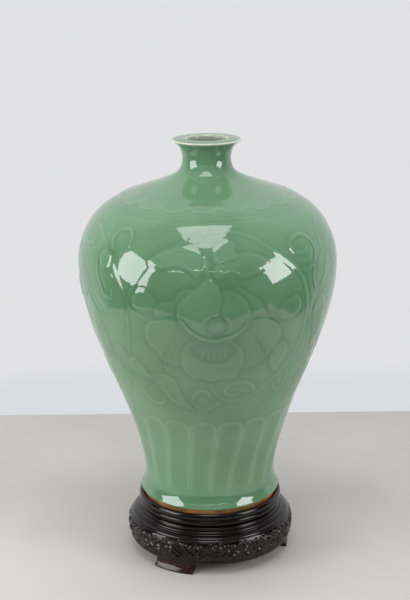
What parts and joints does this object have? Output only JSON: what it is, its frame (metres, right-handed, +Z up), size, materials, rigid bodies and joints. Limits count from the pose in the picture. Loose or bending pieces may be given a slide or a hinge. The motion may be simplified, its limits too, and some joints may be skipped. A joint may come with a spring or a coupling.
{
  "type": "plum vase on a carved wooden stand",
  "caption": "High-shouldered celadon porcelain vase with a small flared mouth and low carved flowers, standing loose in the recessed seat of a round carved dark wood stand on low feet.",
  "frame": {"origin": "centre of the underside, on the surface that the stand's feet rest on, under the common axis of the vase and the stand", "axes": "+Z up along the axis of the vase; -Y towards the viewer, so the front of the carved decoration faces -Y; +X to the viewer's right"},
  "size_m": [0.2642, 0.2642, 0.4415],
  "materials": {
    "celadon_glaze": "glossy celadon glaze over carved porcelain, bare brown foot",
    "black_lacquer": "near-black glossy lacquer on turned and carved hardwood",
    "red_brown_lacquer": "red-brown glossy lacquer on hardwood",
    "bare_hardwood": "unfinished hardwood dowel"
  },
  "bodies": {
    "stand": {"stand_rim": "black_lacquer", "seat_board": "black_lacquer", "waist_ring": "black_lacquer", "carved_drum": "black_lacquer", "foot_1": "red_brown_lacquer", "foot_2": "red_brown_lacquer", "foot_3": "red_brown_lacquer", "foot_1_dowel_1": "bare_hardwood", "foot_1_dowel_2": "bare_hardwood", "foot_2_dowel_1": "bare_hardwood", "foot_2_dowel_2": "bare_hardwood", "foot_3_dowel_1": "bare_hardwood", "foot_3_dowel_2": "bare_hardwood"},
    "vase": {"vase": "celadon_glaze"}
  },
  "joints": [
    {"name": "vase_lift", "type": "slide", "parent": "stand", "child": "vase", "axis": [0, 0, 1], "range_m": [0, 0.1]}
  ]
}
